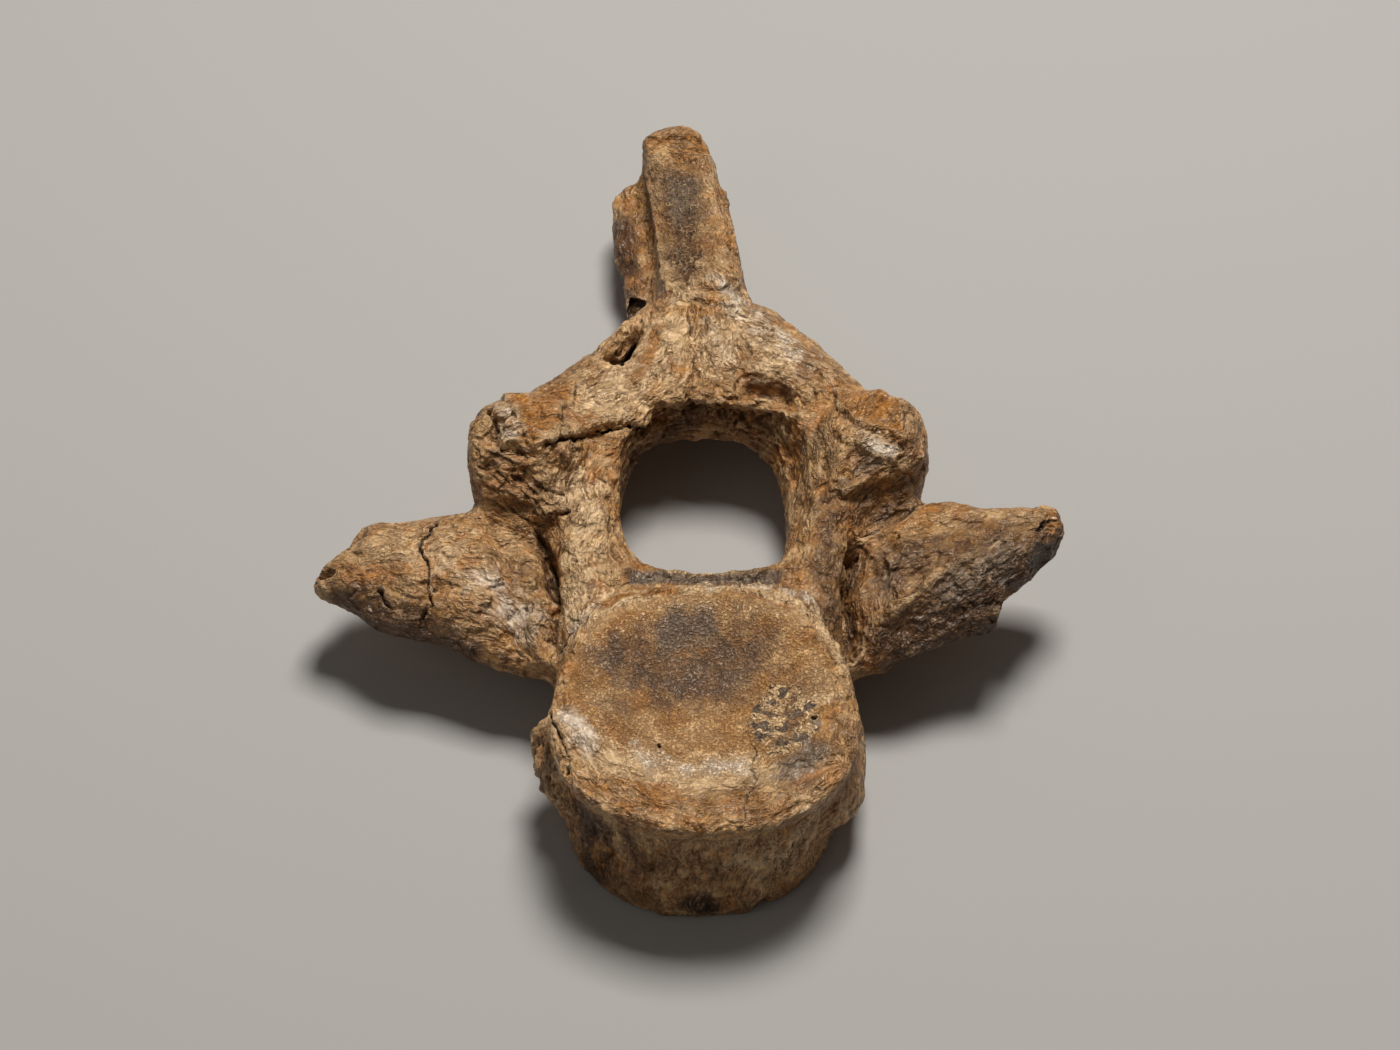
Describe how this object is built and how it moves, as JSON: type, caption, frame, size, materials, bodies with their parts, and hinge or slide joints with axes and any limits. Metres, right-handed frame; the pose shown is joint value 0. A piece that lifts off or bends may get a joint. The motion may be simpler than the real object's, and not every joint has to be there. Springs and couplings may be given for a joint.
{
  "type": "fossil vertebra",
  "caption": "Fossil tail vertebra: a short drum-shaped body, an open ring above it, two broken side wings, worn joint knobs and a long spine, lying on its rear face.",
  "frame": {"origin": "centre of the flat rear face of the vertebra's body, on the surface that it lies on", "axes": "+X across the bone, to the viewer's right; +Y from the underside of the body towards the tip of the spine; +Z from the rear face up to the front face"},
  "size_m": [0.0907, 0.1163, 0.0224],
  "materials": {
    "bone": "mineralised bone: tan to ochre brown with grey patches, fibrous, mostly matt with a faint gloss on worn ridges"
  },
  "bodies": {
    "root": {"vertebra": "bone"}
  },
  "joints": []
}
